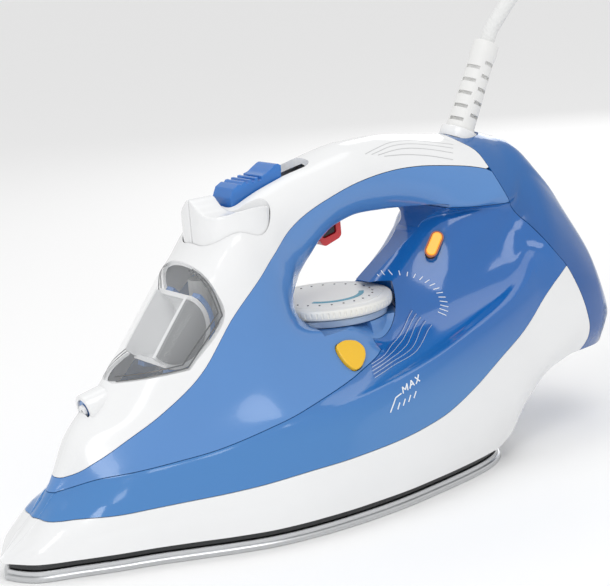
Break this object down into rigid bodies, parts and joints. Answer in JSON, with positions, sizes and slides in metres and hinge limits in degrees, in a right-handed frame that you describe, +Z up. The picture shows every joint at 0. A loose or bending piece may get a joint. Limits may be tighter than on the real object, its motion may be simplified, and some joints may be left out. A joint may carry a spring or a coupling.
{
  "type": "steam iron",
  "caption": "Corded steam iron with a pointed steel sole, clear water tank, loop handle with spray, steam and slide controls, fabric dial, filler door and swivelling cord boot.",
  "frame": {"origin": "on the ironing face, on the centre plane, 151 mm behind the tip of the nose", "axes": "+X from the nose to the heel, +Y to the user's left with the nose pointing away, +Z up from the ironing face"},
  "size_m": [0.5673, 0.1228, 0.2254],
  "materials": {
    "soleplate": "hard satin coat, fine brushing",
    "heat_shield": "satin heat-proof moulding",
    "cast_body": "die-cast, rough",
    "inner_steel": "dull steel",
    "inner_grey": "moulded",
    "white_shell": "glossy moulding",
    "tank_blue": "clear tinted moulding",
    "blue_shell": "glossy moulding",
    "feet": "soft rubber",
    "clear": "clear moulding",
    "buttons": "glossy moulding",
    "inner_white": "moulded",
    "slider_clear": "tinted clear moulding",
    "trigger_red": "glossy moulding",
    "inner_dark": "moulded",
    "dial_cream": "satin moulding",
    "dial_window": "clear moulding",
    "button_yellow": "glossy moulding",
    "lamp_amber": "clear amber moulding",
    "boot_white": "soft satin rubber",
    "cord_cloth": "braided cover",
    "plug_white": "satin moulding",
    "plug_brass": "plated pin"
  },
  "bodies": {
    "housing": {"soleplate": "soleplate", "heat_shield": "heat_shield", "steam_chamber": "cast_body", "heating_element": "inner_steel", "thermostat": "inner_steel", "thermal_fuse": "inner_grey", "tank_floor": "white_shell", "lower_housing": "white_shell", "water_tank": "tank_blue", "upper_shell": "blue_shell", "top_cover": "white_shell", "heel_cover": "tank_blue", "heel_foot_lower": "feet", "heel_foot_upper": "feet", "filler_cup": "inner_grey", "filler_ring_left": "tank_blue", "filler_ring_right": "tank_blue", "nozzle_insert": "blue_shell", "nozzle_tip": "white_shell", "pump_left": "inner_white", "pump_right": "inner_white", "pump_spring_left": "inner_steel", "pump_spring_right": "inner_steel", "slider_track": "white_shell", "trigger_switch": "inner_dark", "dial_ring": "dial_window", "lamp_lens": "lamp_amber", "lamp_body": "inner_grey", "terminal_block": "inner_dark", "boot_seat": "white_shell", "cord": "cord_cloth", "cord_coil": "cord_cloth", "cord_tail": "cord_cloth", "plug_relief": "boot_white", "plug_body": "plug_white", "plug_pin_left": "plug_brass", "plug_pin_right": "plug_brass"},
    "door": {"filler_door": "clear"},
    "thumb_left": {"thumb_button_left": "buttons", "plunger_left": "inner_grey"},
    "thumb_right": {"thumb_button_right": "buttons", "plunger_right": "inner_grey"},
    "slider": {"steam_slider": "slider_clear"},
    "valve": {"valve_rod": "inner_grey"},
    "dial": {"dial_cap": "dial_cream", "dial_shaft": "inner_grey"},
    "flush": {"flush_button": "button_yellow", "flush_stem": "inner_grey"},
    "trigger": {"trigger": "trigger_red", "trigger_pad_left": "feet", "trigger_pad_right": "feet"},
    "swivel": {"cord_boot": "boot_white", "swivel_ball": "inner_grey"}
  },
  "joints": [
    {"name": "filler_door_hinge", "type": "hinge", "parent": "housing", "child": "door", "pos_m": [-0.0947, 0, 0.0723], "axis": [0, -1, 0], "range_deg": [0, 60]},
    {"name": "thumb_left_press", "type": "slide", "parent": "housing", "child": "thumb_left", "axis": [0, 0, -1], "range_m": [0, 0.003], "stiffness_N_per_m": 600, "springref_m": -0.002, "deforming": ["pump_spring_left"]},
    {"name": "thumb_right_press", "type": "slide", "parent": "housing", "child": "thumb_right", "axis": [0, 0, -1], "range_m": [0, 0.003], "stiffness_N_per_m": 600, "springref_m": -0.002, "deforming": ["pump_spring_right"]},
    {"name": "steam_slide", "type": "slide", "parent": "housing", "child": "slider", "axis": [0.97, 0, 0.2431], "range_m": [0, 0.012]},
    {"name": "valve_lift", "type": "slide", "parent": "housing", "child": "valve", "axis": [0, 0, 1], "range_m": [-0.0026, 0]},
    {"name": "dial_turn", "type": "hinge", "parent": "housing", "child": "dial", "pos_m": [0.0205, 0, 0.08], "axis": [0, 0, 1], "range_deg": [-60, 210]},
    {"name": "flush_press", "type": "slide", "parent": "housing", "child": "flush", "axis": [-0.0599, 0.7494, -0.6594], "range_m": [0, 0.003], "stiffness_N_per_m": 400, "springref_m": -0.002},
    {"name": "trigger_pull", "type": "hinge", "parent": "housing", "child": "trigger", "pos_m": [0.012, 0, 0.118], "axis": [0, -1, 0], "range_deg": [0, 8], "stiffness_Nm_per_rad": 0.1, "springref_deg": -5.73},
    {"name": "cord_swivel", "type": "hinge", "parent": "housing", "child": "swivel", "pos_m": [0.1025, 0, 0.1456], "axis": [0.4618, 0, 0.887], "range_deg": [-90, 90]}
  ],
  "couplings": [
    {"joint": "valve_lift", "follows": "steam_slide", "ratio": -0.2}
  ]
}
